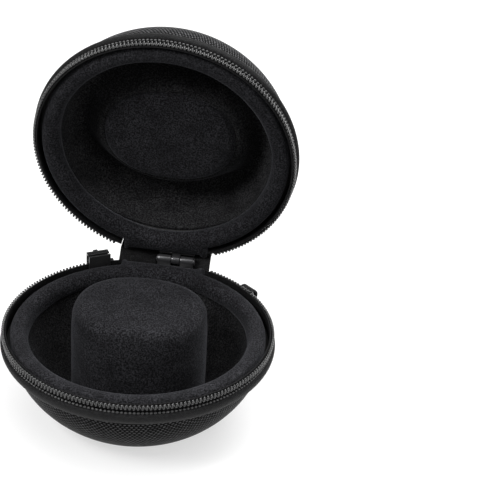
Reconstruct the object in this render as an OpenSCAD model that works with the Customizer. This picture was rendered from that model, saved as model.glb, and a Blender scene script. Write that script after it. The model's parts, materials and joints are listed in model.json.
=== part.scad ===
// Zipped hard-shell travel case, standing open. Two moulded halves meet on a zipper
// and turn on a small rear hinge. Floor at z = 0, hinge side at +Y.

/* [Case] */
// Diameter of the case across the zipper
case_d = 108; // [104:1:116]
// Height of the zipper above the floor, which is the depth of the base
base_h = 36.5; // [34:0.5:42]
// Full height of the lid above the zipper, to its crest
lid_h = 38.5; // [37:0.5:43]
// Diameter of the flat foot
foot_d = 58; // [44:1:62]
// Angle at which the open lid stands
lid_open = 80; // [60:1:95]

/* [Walls] */
// Thickness of the woven outer cover
cover_t = 0.9; // [0.7:0.1:1.2]
// Thickness of the moulded foam wall
foam_t = 4.4; // [3.5:0.1:4.8]
// Thickness of the velour lining
lining_t = 0.9; // [0.6:0.1:1.2]
// Distance from the zipper plane to the seam under the edge band
seam_h = 9; // [8.6:0.1:10]
// Depth of the step between the edge band and the moulded dome
seam_step = 2.2; // [1.5:0.1:3]

/* [Padded rim] */
// Width of the padded rim
rim_w = 6.5; // [5.5:0.1:7.5]
// Height of the padded rim
rim_tall = 5.9; // [5:0.1:6.2]
// Radius of the rim's inner shoulder
rim_round = 3.4; // [2:0.1:4]
// Thickness of the velour over the rim
rim_velour_t = 0.8; // [0.5:0.1:1]
// Half the gap left between the two rims when shut
rim_gap = 0.3; // [0.2:0.05:0.6]

/* [Post and lid pillow] */
// Length of the oval post, along the hinge
post_l = 54; // [46:1:60]
// Width of the oval post
post_w = 47; // [38:1:50]
// How far the post's top stands above the zipper plane
post_rise = 9.5; // [4:0.5:10]
// How far the post stands behind the middle
post_back = 2; // [0:0.5:4]
// Radius of the post's top edge
post_round = 4; // [2:0.5:6]
// Length of the lid's dimple, crest to crest
dimple_l = 74; // [66:1:78]
// Width of the lid's dimple, crest to crest
dimple_w = 58; // [50:1:62]
// Height of the dimple's floor above the zipper plane
dimple_floor = 20.5; // [20:0.5:24]
// Share of the dimple that is flat floor
dimple_flat = 0.69; // [0.6:0.01:0.72]
// Distance from the lid's pillow to the edge of the floor under it
pillow_edge = 0.8; // [0.5:0.1:3]
// Thickness of the lid's pillow
pillow_t = 2.4; // [1.5:0.1:2.6]

/* [Zipper] */
// Thickness of the coil, outwards
coil_t = 1.7; // [1.4:0.1:2]
// Height of one coil
coil_tall = 2.3; // [1.8:0.1:2.4]
// Spacing of the coil's turns
coil_pitch = 1.6; // [1.4:0.1:2.5]
// Width of one turn of the coil
coil_turn_w = 0.95; // [0.7:0.05:1.1]
// Half the gap between the two coils when shut
coil_gap = 0.25; // [0.2:0.05:0.4]
// Thickness of the zipper tape
tape_t = 0.5; // [0.3:0.1:0.7]
// Half the width of the rear spine, where no zipper runs
spine_half_w = 19; // [17:0.5:22]
// Outward thickness of the edge band
band_t = 1.9; // [1.4:0.1:2.2]
// Distance from the zipper plane to the edge band
band_start = 3.8; // [3.7:0.1:4.5]

/* [Slider and pull] */
// Length of the slider
slider_l = 9.2; // [7:0.1:10]
// Thickness of the slider's plates
plate_t = 0.8; // [0.6:0.05:1]
// Clearance round the coil inside the slider
slider_clear = 0.22; // [0.15:0.01:0.3]
// Angle of the parked slider, from the rear towards the left
park_angle = 30; // [29:1:36]
// Angle of the slider when zipped shut, from the rear towards the right
shut_angle = 54; // [54:1:62]
// Wire radius of the pull's link
link_wire_r = 0.6; // [0.5:0.05:0.7]
// Width of the link between the centres of its sides
link_w = 5.2; // [4.6:0.1:6]
// Length of the link between the centres of its ends
link_l = 7.6; // [6.5:0.1:9]
// Width of the pull tab
tab_w = 5.4; // [4.4:0.1:6]
// Length of the pull tab
tab_l = 22; // [16:0.5:23]
// Thickness of the pull tab
tab_t = 2; // [1.9:0.1:2.2]

/* [Hinge] */
// Radius of the hinge barrel
barrel_r = 1.8; // [1.6:0.05:1.9]
// Radius of the hinge pin
pin_r = 0.8; // [0.6:0.05:0.9]
// Running clearance of the pins
pin_clear = 0.05; // [0.02:0.01:0.09]
// Length of each outer knuckle
knuckle_l = 5.4; // [4:0.1:7]
// Length of the middle knuckle
middle_l = 3.4; // [3:0.1:5]
// Gap between knuckles
knuckle_gap = 0.3; // [0.2:0.05:0.5]
// Where the barrel's left end lies, from the middle
barrel_x = -2.5; // [-7:0.1:-2]
// Thickness of the hinge leaves
leaf_t = 0.8; // [0.6:0.05:0.9]

/* [Carabiner] */
// Angle of the webbing loop, from the rear towards the right
loop_angle = 40; // [38:1:41]
// Width of the webbing
webbing_w = 6.5; // [5:0.5:7]
// Thickness of the webbing
webbing_t = 1; // [0.7:0.1:1.2]
// Bar radius of the carabiner
bar_r = 1.5; // [1.2:0.05:1.6]
// Width of the carabiner between bar centres
carabiner_w = 11; // [10:0.5:13]
// Length of the carabiner between bar centres
carabiner_l = 26; // [20:0.5:27]
// Bend radius of the carabiner's corners
carabiner_bend = 3.4; // [3:0.1:4]
// Length of the carabiner's gate
gate_l = 14; // [9:0.5:15]
// Play of the carabiner's bar in the webbing
loop_play = 0.35; // [0.2:0.05:0.5]

/* [Hidden] */

$fn = 96;
eps = 0.01;
round_steps = 6;
dome_steps = 16;
dome_sides = 48;
post_sides = 48;

// Radii at the rim, from the zipper inwards
coil_out_r = case_d / 2 - 0.2;
tape_out_r = coil_out_r - coil_t;
tape_in_r = tape_out_r - tape_t;
band_out_r = tape_out_r + band_t;
collar_r = tape_in_r;
dome_r = collar_r - seam_step + 2;
wing_gap = 0.25;
wing_in_r = tape_in_r - wing_gap - slider_l * slider_l / 8 / tape_in_r - plate_t;
pad_clear = 0.65;
rim_out_r = wing_in_r - pad_clear;
rim_in_r = rim_out_r - rim_w;
rim_end = rim_gap + rim_tall;
tape_h = coil_gap + 0.1;
tape_end = seam_h - 0.4;
band_end = seam_h + 0.2;

// The domes are superellipses of revolution: half-depths and exponents
base_n = 2;
lid_n = 2.4;
base_c = base_h / pow(1 - pow(foot_d / 2 / dome_r, base_n), 1 / base_n);
crest_r = dimple_w / 2;
lid_c = lid_h / pow(1 - pow(crest_r / dome_r, lid_n), 1 / lid_n);
wall_t = cover_t + foam_t + lining_t;

// The dimple widens with depth inside the wall; the pillow fills its floor
dimple_grow = 0.55;
function dimple_floor_size(full) = (full + 2 * dimple_grow * wall_t) * dimple_flat - 2 * pillow_edge;
pillow_l = dimple_floor_size(dimple_l);
pillow_w = dimple_floor_size(dimple_w);

// The hinge axis lies just behind the collars, in the zipper plane
hinge_y = collar_r + barrel_r;
barrel_l = 2 * knuckle_l + middle_l + 2 * knuckle_gap;
head_t = 0.6;
head_r = barrel_r - 0.4;
seat_gap = 0.05;
leaf_y = collar_r + seat_gap;
spine_t = 0.7;
spine_gap = 0.3;
leaf_h = seam_h - spine_t - spine_gap;
spine_angle = asin(spine_half_w / case_d * 2);
spine_out_r = hinge_y + barrel_r + spine_t + 0.2;
spine_start = 3.3;

slider_angle = slider_l / coil_out_r * 180 / PI;
park_room = 1.6;
flange_t = 0.75;
slider_half_h = coil_gap + coil_tall + slider_clear + flange_t;
plate_in_r = coil_out_r + slider_clear;
bridge_w = 2;
bridge_t = 0.8;
link_r = plate_in_r + plate_t + link_wire_r + 0.4;
link_bend = 1.4;
tab_head = 1.9;
tab_head_w = link_w - 2 * link_wire_r - 0.8;

// The coils end at the stops, with the slider's reach between them
stop_w = 1.8;
stop_room = (stop_w + 0.6) / 2 / coil_out_r * 180 / PI;
stop_left = -park_angle + slider_angle / 2 + stop_room;
stop_right = shut_angle - slider_angle / 2 - stop_room;
coil_left = 360 + stop_left - stop_room;
coil_right = stop_right + stop_room;
lid_zip_left = 360 - park_angle - slider_angle / 2 - park_room;
loop_h = 6.2;
// Where the webbing reaches past the bar's straight part, its eye is opened by the bend's drop
bend_reach = max(0, webbing_w / 2 - (carabiner_w / 2 - carabiner_bend));
bend_drop = carabiner_bend - sqrt(pow(carabiner_bend, 2) - pow(bend_reach, 2));
eye_r = bar_r + loop_play + bend_drop;
loop_r = band_out_r + webbing_t + bar_r + loop_play + 0.35;
gate_r = bar_r - 0.25;
gate_gap = 0.3;
gate_pin_r = 0.45;
tongue_t = 1;
spring_t = 0.5;
fork_gap = tongue_t + spring_t + 0.35;

// ---- outlines ----

// Distance from the axis and depth on a dome at turn t, moved in by inset
function dome_point(t, c, n, inset) =
    [(dome_r - inset) * pow(cos(t), 2 / n), (c - inset) * pow(sin(t), 2 / n)];
// Turn at which a dome reaches the depth h
function dome_turn(h, c, n, inset) = asin(pow(h / (c - inset), n / 2));

// One side of the base's dome, from depth h0 down to its flat foot
function base_side(h0, inset) =
    let (t0 = dome_turn(h0, base_c, base_n, inset),
         t1 = dome_turn(base_h - inset, base_c, base_n, inset))
    [for (k = [0:dome_steps]) dome_point(t0 + (t1 - t0) * k / dome_steps, base_c, base_n, inset)];

function reversed(list) = [for (k = [len(list) - 1:-1:0]) list[k]];

// Quarter arc of radius r round c, from angle a to angle b
function arc(c, r, a, b) =
    [for (k = [0:round_steps]) let (t = a + (b - a) * k / round_steps) c + r * [cos(t), sin(t)]];

// Section of the padded rim, moved in by inset: a round inner shoulder and small outer corners
function rim_section(inset) =
    let (r0 = rim_in_r + inset, r1 = rim_out_r - inset, h0 = rim_gap + inset, h1 = rim_end - inset,
         big = rim_round - inset, small = 1.2 - inset / 2)
    concat(arc([r0 + big, h0 + big], big, 180, 270), arc([r1 - small, h0 + small], small, 270, 360),
           [[r1, h1], [r0 + small, h1]], arc([r0 + small, h1 - small], small, 90, 180));

// Section of the edge band: flat against the tape, rounded outside, tapering to the seam
function band_section() =
    let (r0 = tape_out_r, r1 = band_out_r, soft = band_t * 0.68, fall = band_end - band_start - soft)
    concat([[r0, band_start], [r1 - soft, band_start]],
           arc([r1 - soft, band_start + soft], soft, 270, 360),
           [for (k = [0.3, 0.6, 0.85]) [r1 - (band_t - 0.2) * k * k, band_end - fall * (1 - k)]],
           [[r0 + 0.2, band_end], [r0, band_end]]);

// ---- placing ----

// A half is drawn with its rim at z = 0 and its depth upwards
module in_base() translate([0, 0, base_h]) mirror([0, 0, 1]) children();
module in_lid() translate([0, hinge_y, base_h]) rotate([-lid_open, 0, 0])
    translate([0, -hinge_y, 0]) children();

// Turns a piece drawn at the front of +X round to an angle from the rear, right being positive
module at_angle(angle) rotate([0, 0, 90 - angle]) children();
module on_track(angle) translate([0, 0, base_h]) at_angle(angle) children();

// Pie slice from angle a to angle b, measured from the rear towards the right
module slice(a, b) {
    reach = case_d;
    steps = 12;
    translate([0, 0, -2])
        linear_extrude(base_h)
            polygon(concat([[0, 0]], [for (k = [0:steps]) let (t = a + (b - a) * k / steps)
                reach * [sin(t), cos(t)]]));
}

module ring(section) rotate_extrude() polygon(section);

// ---- shapes built from rings of points ----

// Closed solid through a stack of rings with the same count of points
module stack(rings) {
    n = len(rings[0]);
    m = len(rings);
    points = [for (ring = rings) each ring];
    sides = [for (j = [0:m - 2], k = [0:n - 1]) let (a = j * n + k, b = j * n + (k + 1) % n)
        each [[a, a + n, b + n], [a, b + n, b]]];
    caps = [[for (k = [0:n - 1]) k], [for (k = [n - 1:-1:0]) (m - 1) * n + k]];
    polyhedron(points, concat(caps, sides));
}

function smooth(v) = let (s = max(0, min(1, v))) s * s * (3 - 2 * s);
// Share of the dimple's floor at the point p, from 1 on the floor to 0 at the crest
function dimple_share(p, inset) =
    let (grow = inset * dimple_grow,
         e = norm([p[0] / (dimple_l / 2 + grow), p[1] / (dimple_w / 2 + grow)]))
    1 - smooth((e - dimple_flat) / (1.04 - dimple_flat));

function round_ring(r, h) =
    [for (k = [0:dome_sides - 1]) let (a = 360 * k / dome_sides) [r * cos(a), r * sin(a), h]];

// Height of the lid's skin moved in by inset, over the point p
function lid_top(p, inset) =
    let (c = lid_c - inset, dome = c * pow(1 - pow(norm(p) / (dome_r - inset), lid_n), 1 / lid_n))
    dome + (dimple_floor - inset - dome) * dimple_share(p, inset);

// How far a ring of radius r is drawn in from a circle to the dimple's oval, as its width over its length
function oval_ratio(r) =
    let (share = 1 - smooth((r - dimple_l / 2) / (dome_r - dimple_l / 2)))
    1 - (1 - dimple_w / dimple_l) * share;

// Solid under the lid's skin moved in by inset, with its lower rings at the given depths, on a
// foot of extra rings. Above the seam each layer of the wall has its rings in the same places.
module lid_solid(inset, depths, foot = []) {
    t0 = dome_turn(seam_h, lid_c, lid_n, inset);
    pole = 88.5;
    rims = [for (h = concat(depths, seam_h))
        round_ring(dome_point(dome_turn(h, lid_c, lid_n, inset), lid_c, lid_n, inset)[0], h)];
    dome = [for (j = [1:dome_steps])
        let (r = dome_point(t0 + (pole - t0) * j / dome_steps, lid_c, lid_n, inset)[0])
        [for (k = [0:dome_sides - 1]) let (a = 360 * k / dome_sides, p = r * [cos(a), oval_ratio(r) * sin(a)])
            [p[0], p[1], lid_top(p, inset)]]];
    stack(concat(foot, rims, dome));
}

function oval(l, w, h) =
    [for (k = [0:post_sides - 1]) let (a = 360 * k / post_sides)
        [l / 2 * pow(abs(cos(a)), 0.9) * sign(cos(a)), w / 2 * pow(abs(sin(a)), 0.9) * sign(sin(a)), h]];

// Oval block from h0 to h1 with a rounded top edge, moved in by inset
module oval_block(l, w, h0, h1, edge, inset) {
    top = h1 - inset;
    r = max(0.3, edge - inset);
    wall = [for (h = [h0, top - r]) oval(l - 2 * inset, w - 2 * inset, h)];
    crown = [for (k = [1:round_steps]) let (t = 90 * k / round_steps, d = r * (1 - cos(t)))
        oval(l - 2 * inset - 2 * d, w - 2 * inset - 2 * d, top - r + r * sin(t))];
    stack(concat(wall, crown));
}

// ---- the two halves ----

module base_cover() color("#1c1c1e") in_base()
    ring(concat([[0, base_h]], reversed(base_side(seam_h, 0)),
        base_side(seam_h, cover_t), [[0, base_h - cover_t]]));

// The foam wall has a collar that carries tape, band and rim
module base_shell() color("#2b2b2e") in_base()
    ring(concat([[0, base_h - cover_t]], reversed(base_side(seam_h, cover_t)),
        [[collar_r, seam_h], [collar_r, rim_end]],
        base_side(rim_end, cover_t + foam_t), [[0, base_h - cover_t - foam_t]]));

module base_lining() color("#262628") in_base()
    ring(concat([[0, base_h - cover_t - foam_t]], reversed(base_side(rim_end, cover_t + foam_t)),
        base_side(rim_end, wall_t), [[0, base_h - wall_t]]));

module rim_foam() ring(rim_section(rim_velour_t));
module rim_velour() difference() {
    ring(rim_section(0));
    ring(rim_section(rim_velour_t));
}
module base_rim_foam() color("#3a3a3d") in_base() rim_foam();
module base_rim_velour() color("#2d2d30") in_base() rim_velour();
module lid_rim_foam() color("#3a3a3d") in_lid() rim_foam();
module lid_rim_velour() color("#2d2d30") in_lid() rim_velour();

module edge_band() difference() {
    ring(band_section());
    slice(-spine_angle, spine_angle);
}
// The webbing is sewn in through a slot in the base's band
module webbing_slot() at_angle(loop_angle)
    translate([collar_r, -webbing_w / 2 - 0.2, loop_h - webbing_t - 0.25])
        cube([band_out_r, webbing_w + 0.4, 2 * webbing_t + 0.5]);
module base_edge_band() color("#232326") in_base() difference() {
    edge_band();
    webbing_slot();
}
module lid_edge_band() color("#232326") in_lid() edge_band();

module zip_tape() ring([[tape_in_r, tape_h], [tape_out_r, tape_h], [tape_out_r, tape_end],
    [tape_in_r, tape_end]]);
module base_zip_tape() color("#18181a") in_base() difference() {
    zip_tape();
    slice(-spine_angle, spine_angle);
}
// On the lid the tape and coil also leave room for the parked slider
module lid_zip_tape() color("#18181a") in_lid() difference() {
    zip_tape();
    slice(lid_zip_left - 360, spine_angle);
}

coil_step = coil_pitch / coil_out_r * 180 / PI;
// Coil from angle a to angle b round by the front: a cord with its turns standing out
module zip_coil(a, b, shift) {
    cord_t = 0.7;
    cord_h = [coil_gap + 0.5, coil_gap + coil_tall - 0.5];
    count = floor((b - a) / coil_step) - 1;
    difference() {
        ring([[tape_out_r, cord_h[0]], [tape_out_r + cord_t, cord_h[0]],
            [tape_out_r + cord_t, cord_h[1]], [tape_out_r, cord_h[1]]]);
        slice(b - 360, a);
    }
    for (k = [0:count])
        at_angle(a + coil_step * (k + 0.5 + shift))
            translate([tape_out_r + 0.05, -coil_turn_w / 2, coil_gap])
                cube([coil_t - 0.05, coil_turn_w, coil_tall]);
}
module base_zip_coil() color("#0e0e10") in_base() zip_coil(coil_right, coil_left, 0);
module lid_zip_coil() color("#0e0e10") in_lid() zip_coil(coil_right, lid_zip_left, 0.5);

module lid_cover() color("#1c1c1e") in_lid() difference() {
    lid_solid(0, []);
    lid_solid(cover_t, [seam_h - 1]);
}
module lid_shell() color("#2b2b2e") in_lid() difference() {
    lid_solid(cover_t, [], [round_ring(collar_r, rim_end), round_ring(collar_r, seam_h)]);
    lid_solid(cover_t + foam_t, [rim_end - 1, rim_end]);
}
module lid_lining() color("#262628") in_lid() difference() {
    lid_solid(cover_t + foam_t, [rim_end]);
    lid_solid(wall_t, [rim_end - 1, rim_end]);
}
lid_pillow_h = dimple_floor - wall_t;
module lid_pillow() color("#2d2d30") in_lid()
    translate([0, 0, lid_pillow_h]) mirror([0, 0, 1])
        oval_block(pillow_l, pillow_w, 0, pillow_t, 1.6, 0);

post_foot = wall_t;
post_top = base_h + post_rise;
module post_core() color("#3a3a3d") translate([0, post_back, 0])
    oval_block(post_l, post_w, post_foot, post_top, post_round, lining_t);
module post_sleeve() color("#262628") translate([0, post_back, 0]) difference() {
    oval_block(post_l, post_w, post_foot, post_top, post_round, 0);
    oval_block(post_l, post_w, post_foot - 1, post_top, post_round, lining_t);
}

// ---- hinge and spine ----

// Hinge parts are drawn with the leaf upwards, as on the lid when shut
module knuckle(x, l) translate([x, hinge_y, 0]) rotate([0, 90, 0]) cylinder(r = barrel_r, h = l);
module leaf(x, l, tall) translate([x, leaf_y, 0]) cube([l, leaf_t, tall]);
module pin_bore() translate([barrel_x - 1, hinge_y, 0]) rotate([0, 90, 0])
    cylinder(r = pin_r + pin_clear, h = barrel_l + 2);
leaf_clear = barrel_r + 0.5;
middle_x = barrel_x + knuckle_l + knuckle_gap;
right_x = middle_x + middle_l + knuckle_gap;

module hinge_base_leaf() color("#1f1f22") in_base() difference() {
    union() {
        for (x = [barrel_x, right_x]) {
            knuckle(x, knuckle_l);
            leaf(x, knuckle_l, leaf_clear + eps);
        }
        translate([barrel_x, leaf_y, leaf_clear]) cube([barrel_l, leaf_t, leaf_h - leaf_clear]);
    }
    pin_bore();
}
module hinge_lid_leaf() color("#1f1f22") in_lid() difference() {
    union() {
        knuckle(middle_x, middle_l);
        leaf(middle_x, middle_l, leaf_clear + eps);
        translate([barrel_x, leaf_y, leaf_clear]) cube([barrel_l, leaf_t, leaf_h - leaf_clear]);
    }
    pin_bore();
}
module hinge_pin() color("#3c3c40") translate([barrel_x, hinge_y, base_h]) rotate([0, 90, 0]) {
    cylinder(r = pin_r, h = barrel_l);
    translate([0, 0, -head_t]) cylinder(r = head_r, h = head_t);
    translate([0, 0, barrel_l]) cylinder(r = head_r, h = head_t);
}

// One fabric strip closes the rear; each half of it is drawn up to the fold
module spine_flap() intersection() {
    ring([[collar_r, seam_h], [collar_r, seam_h - spine_t], [spine_out_r - spine_t, seam_h - spine_t],
        [spine_out_r - spine_t, spine_start], [spine_out_r, spine_start], [spine_out_r, seam_h]]);
    slice(-spine_angle + 0.6, spine_angle - 0.6);
}
module spine_lower() color("#202023") in_base() spine_flap();
module spine_upper() color("#202023") in_lid() spine_flap();

// Turn from the rear at which the collar reaches the place x
function collar_turn(x) = asin(x / collar_r);
// Piece lying on the collar from the place x0 to x1, t thick, from the depth h0 down to the leaf's end
module collar_strip(x0, x1, t, h0) intersection() {
    ring([[collar_r, h0], [collar_r + t, h0], [collar_r + t, leaf_h], [collar_r, leaf_h]]);
    slice(collar_turn(x0), collar_turn(x1));
}
module spine_tab() color("#28282b") in_base() {
    strip_l = 5;
    rise = 1.2;
    x = barrel_x - head_t - 0.4;
    collar_strip(x - 2 * strip_l, x - strip_l, 1, -rise);
    collar_strip(x - strip_l - 0.1, x, 0.6, 0);
}

module zip_stop(angle) on_track(angle)
    translate([tape_out_r, -stop_w / 2, -coil_gap - coil_tall])
        cube([coil_t + 0.15, stop_w, coil_tall]);
module zip_stop_left() color("#303034") zip_stop(stop_left);
module zip_stop_right() color("#303034") zip_stop(stop_right);

// ---- slider and pull ----

// Drawn on +X with the outside of the case towards +X and the zipper plane at z = 0
module slider_body() color("#2a2a2e") on_track(-park_angle) {
    half = slider_l / 2;
    web_l = 2.6;
    web_t = coil_gap;
    translate([plate_in_r, -half, -slider_half_h]) cube([plate_t, slider_l, 2 * slider_half_h]);
    translate([wing_in_r, -half, -slider_half_h]) cube([plate_t, slider_l, 2 * slider_half_h]);
    for (z = [-slider_half_h, slider_half_h - flange_t])
        translate([tape_out_r + 0.3, -half, z]) cube([plate_in_r - tape_out_r - 0.3 + eps, slider_l, flange_t]);
    translate([wing_in_r + eps, -half, -web_t / 2])
        cube([plate_in_r - wing_in_r, web_l, web_t]);
}
module slider_bridge() color("#2a2a2e") on_track(-park_angle) {
    foot = plate_in_r + plate_t;
    rise = 2 * link_wire_r + 0.8;
    half = 2.5;
    for (z = [-half, half - bridge_t])
        translate([foot, -bridge_w / 2, z]) cube([rise, bridge_w, bridge_t]);
    translate([foot + rise - eps, -bridge_w / 2, -half]) cube([bridge_t, bridge_w, 2 * half]);
}

// Closed loop of round bar in the plane x = 0: w wide, l long below the origin
module bar_loop(w, l, bend, r) {
    for (y = [-w / 2, w / 2])
        translate([0, y, -l + bend]) cylinder(r = r, h = l - 2 * bend);
    for (z = [0, -l])
        translate([0, -w / 2 + bend, z]) rotate([-90, 0, 0]) cylinder(r = r, h = w - 2 * bend);
    for (side = [0, 1], end = [0, 1])
        bar_bend(side, end, w, l, bend, r);
}
// One quarter bend of such a loop: side 0 or 1, end 0 top or 1 bottom
module bar_bend(side, end, w, l, bend, r)
    translate([0, (side == 0 ? -1 : 1) * (w / 2 - bend), end == 0 ? -bend : -l + bend])
        mirror([0, side == 0 ? 1 : 0, 0]) mirror([0, 0, end == 0 ? 0 : 1])
            rotate([90, 0, 90]) intersection() {
                rotate_extrude() translate([bend, 0]) circle(r = r, $fn = 24);
                translate([0, 0, -r - 1]) cube([2 * bend + r, 2 * bend + r, 2 * r + 2]);
            }

module pull_link() color("#38383c") on_track(-park_angle) translate([link_r, 0, 0])
    bar_loop(link_w, link_l, link_bend, link_wire_r);

module pull_tab() color("#242427") on_track(-park_angle) translate([link_r, 0, -link_l]) {
    corner = 1.3;
    difference() {
        translate([-tab_t / 2, 0, 0]) rotate([90, 0, 90]) linear_extrude(tab_t) difference() {
            translate([-tab_w / 2, tab_head - tab_l]) square([tab_w, tab_l]);
            for (side = [-1, 1]) {
                translate([side * tab_w / 2, tab_head - tab_l]) rotate(45) square(corner, center = true);
                translate([side * (tab_head_w / 2 + tab_w / 2), tab_head])
                    square([tab_w, 2 * tab_head + 2 * link_wire_r + 1], center = true);
            }
        }
        rotate([90, 0, 0]) cylinder(r = link_wire_r + pin_clear, h = tab_w + 2, center = true);
    }
}

// ---- webbing loop and carabiner ----

module at_loop() translate([0, 0, base_h - loop_h]) at_angle(loop_angle) children();
module webbing_loop() color("#1a1a1c") at_loop() {
    difference() {
        union() {
            translate([loop_r, 0, 0]) rotate([90, 0, 0])
                cylinder(r = eye_r + webbing_t, h = webbing_w, center = true);
            translate([tape_out_r + 0.05, -webbing_w / 2, -webbing_t])
                cube([loop_r - tape_out_r - eye_r, webbing_w, 2 * webbing_t]);
        }
        translate([loop_r, 0, 0]) rotate([90, 0, 0])
            cylinder(r = eye_r, h = webbing_w + 2, center = true);
    }
}

nose_z = -carabiner_l / 2 + gate_l / 2;
heel_z = nose_z - gate_l;
module carabiner_frame() color("#141416") at_loop() translate([loop_r, 0, 0]) difference() {
    bar_loop(carabiner_w, carabiner_l, carabiner_bend, bar_r);
    translate([-3, carabiner_w / 2 - 3, heel_z]) cube([6, 6, gate_l]);
    // the fork that takes the gate's tongue
    translate([-fork_gap / 2, carabiner_w / 2 - 3, heel_z - 3.4]) cube([fork_gap, 6, 3.5]);
    translate([-3, carabiner_w / 2, heel_z - 1.7]) rotate([0, 90, 0])
        cylinder(r = gate_pin_r + pin_clear, h = 6);
}
module carabiner_gate() color("#1c1c1f") at_loop() translate([loop_r, carabiner_w / 2, 0]) difference() {
    union() {
        translate([0, 0, heel_z + gate_gap]) cylinder(r = gate_r, h = gate_l - 2 * gate_gap);
        translate([fork_gap / 2 - tongue_t - 0.1, 0, heel_z - 1.7]) rotate([0, 90, 0])
            cylinder(r = 1.1, h = tongue_t);
        translate([fork_gap / 2 - tongue_t - 0.1, -0.8, heel_z - 1.7]) cube([tongue_t, 1.6, 2.2]);
    }
    translate([-3, 0, heel_z - 1.7]) rotate([0, 90, 0]) cylinder(r = gate_pin_r + pin_clear, h = 6);
}
module gate_pin() color("#4a4a4e") at_loop()
    translate([loop_r - bar_r - 0.1, carabiner_w / 2, heel_z - 1.7]) rotate([0, 90, 0])
        cylinder(r = gate_pin_r, h = 2 * bar_r + 0.2);
module gate_spring() color("#55555a") at_loop()
    translate([loop_r - fork_gap / 2 + 0.1, carabiner_w / 2, heel_z - 1.7]) rotate([0, 90, 0])
        difference() {
            cylinder(r = 1, h = spring_t);
            translate([0, 0, -1]) cylinder(r = gate_pin_r + pin_clear, h = 3);
        }

base_cover();
base_shell();
base_lining();
base_rim_foam();
base_rim_velour();
base_edge_band();
base_zip_tape();
base_zip_coil();
post_core();
post_sleeve();
lid_cover();
lid_shell();
lid_lining();
lid_rim_foam();
lid_rim_velour();
lid_edge_band();
lid_zip_tape();
lid_zip_coil();
lid_pillow();
hinge_base_leaf();
hinge_lid_leaf();
hinge_pin();
spine_lower();
spine_upper();
spine_tab();
zip_stop_left();
zip_stop_right();
slider_body();
slider_bridge();
pull_link();
pull_tab();
webbing_loop();
carabiner_frame();
carabiner_gate();
gate_pin();
gate_spring();
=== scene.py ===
import json
import math
import bpy
import bmesh
import numpy as np
from mathutils import Matrix, Vector

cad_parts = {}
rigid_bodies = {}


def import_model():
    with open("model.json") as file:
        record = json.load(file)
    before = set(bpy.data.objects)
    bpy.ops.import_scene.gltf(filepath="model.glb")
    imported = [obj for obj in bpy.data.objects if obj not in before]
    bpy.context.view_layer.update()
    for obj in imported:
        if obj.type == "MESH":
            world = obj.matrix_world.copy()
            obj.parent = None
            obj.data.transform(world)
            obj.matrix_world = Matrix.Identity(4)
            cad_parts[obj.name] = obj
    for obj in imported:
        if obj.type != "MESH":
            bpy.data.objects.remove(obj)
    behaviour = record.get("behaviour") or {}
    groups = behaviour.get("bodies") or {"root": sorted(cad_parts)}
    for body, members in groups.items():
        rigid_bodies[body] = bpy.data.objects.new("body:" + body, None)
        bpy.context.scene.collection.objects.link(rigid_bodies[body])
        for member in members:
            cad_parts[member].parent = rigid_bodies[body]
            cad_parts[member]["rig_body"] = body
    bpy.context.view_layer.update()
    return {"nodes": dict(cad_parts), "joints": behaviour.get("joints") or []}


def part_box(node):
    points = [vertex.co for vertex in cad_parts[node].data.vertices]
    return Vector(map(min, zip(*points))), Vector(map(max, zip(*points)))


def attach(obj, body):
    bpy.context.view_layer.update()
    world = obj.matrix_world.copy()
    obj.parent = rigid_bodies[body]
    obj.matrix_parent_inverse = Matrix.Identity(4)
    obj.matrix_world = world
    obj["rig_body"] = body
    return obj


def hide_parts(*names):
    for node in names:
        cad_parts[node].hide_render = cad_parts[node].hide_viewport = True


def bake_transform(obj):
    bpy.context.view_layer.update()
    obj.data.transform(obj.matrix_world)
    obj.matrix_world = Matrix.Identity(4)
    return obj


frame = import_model()


joints = {joint["name"]: joint for joint in frame["joints"]}
hinge = joints["lid_hinge"]["pos_m"]
openAngle = math.radians(joints["lid_hinge"]["range_deg"][1])
parkPos = joints["link_swing"]["pos_m"]
loopPos = joints["carabiner_swing"]["pos_m"]
baseH = hinge[2]
print("frame loaded")


# half the width of a node's box
def reach(node):
    low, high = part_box(node)
    return max(-low[0], high[0])


mm = 0.001
shell = {
    "domeR": 51.4 * mm,  # both domes where they meet the zipper plane
    "footR": 29.0 * mm,
    "basePower": 2.0, "lidPower": 2.4,
    "lidCrest": 38.5 * mm,
    "coverT": 0.9 * mm, "foamT": 4.4 * mm, "liningT": 0.9 * mm,
    "seamH": 9.0 * mm, "collarR": 51.6 * mm, "rimEnd": 6.2 * mm,
    "dimpleL": 74.0 * mm, "dimpleW": 58.0 * mm, "dimpleFloor": 20.5 * mm,
    "dimpleFlat": 0.69, "dimpleGrow": 0.55,
    "dimpleEdge": 1.04, "coverLap": 0.3 * mm, "baseTurn": 0.12, "lidTurn": -0.1,  # turns of the cloth, in radians
    "coverEdge": 2.2 * mm, "wallEdge": 2.0 * mm, "liningEdge": 1.2 * mm,  # foot's rounding, outside to inside
}
shell["wallT"] = shell["coverT"] + shell["foamT"] + shell["liningT"]
shell["baseDepth"] = baseH / math.sqrt(1 - (shell["footR"] / shell["domeR"]) ** 2)
shell["lidDepth"] = shell["lidCrest"] / (
    1 - (shell["dimpleW"] / 2 / shell["domeR"]) ** shell["lidPower"]) ** (1 / shell["lidPower"])
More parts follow.
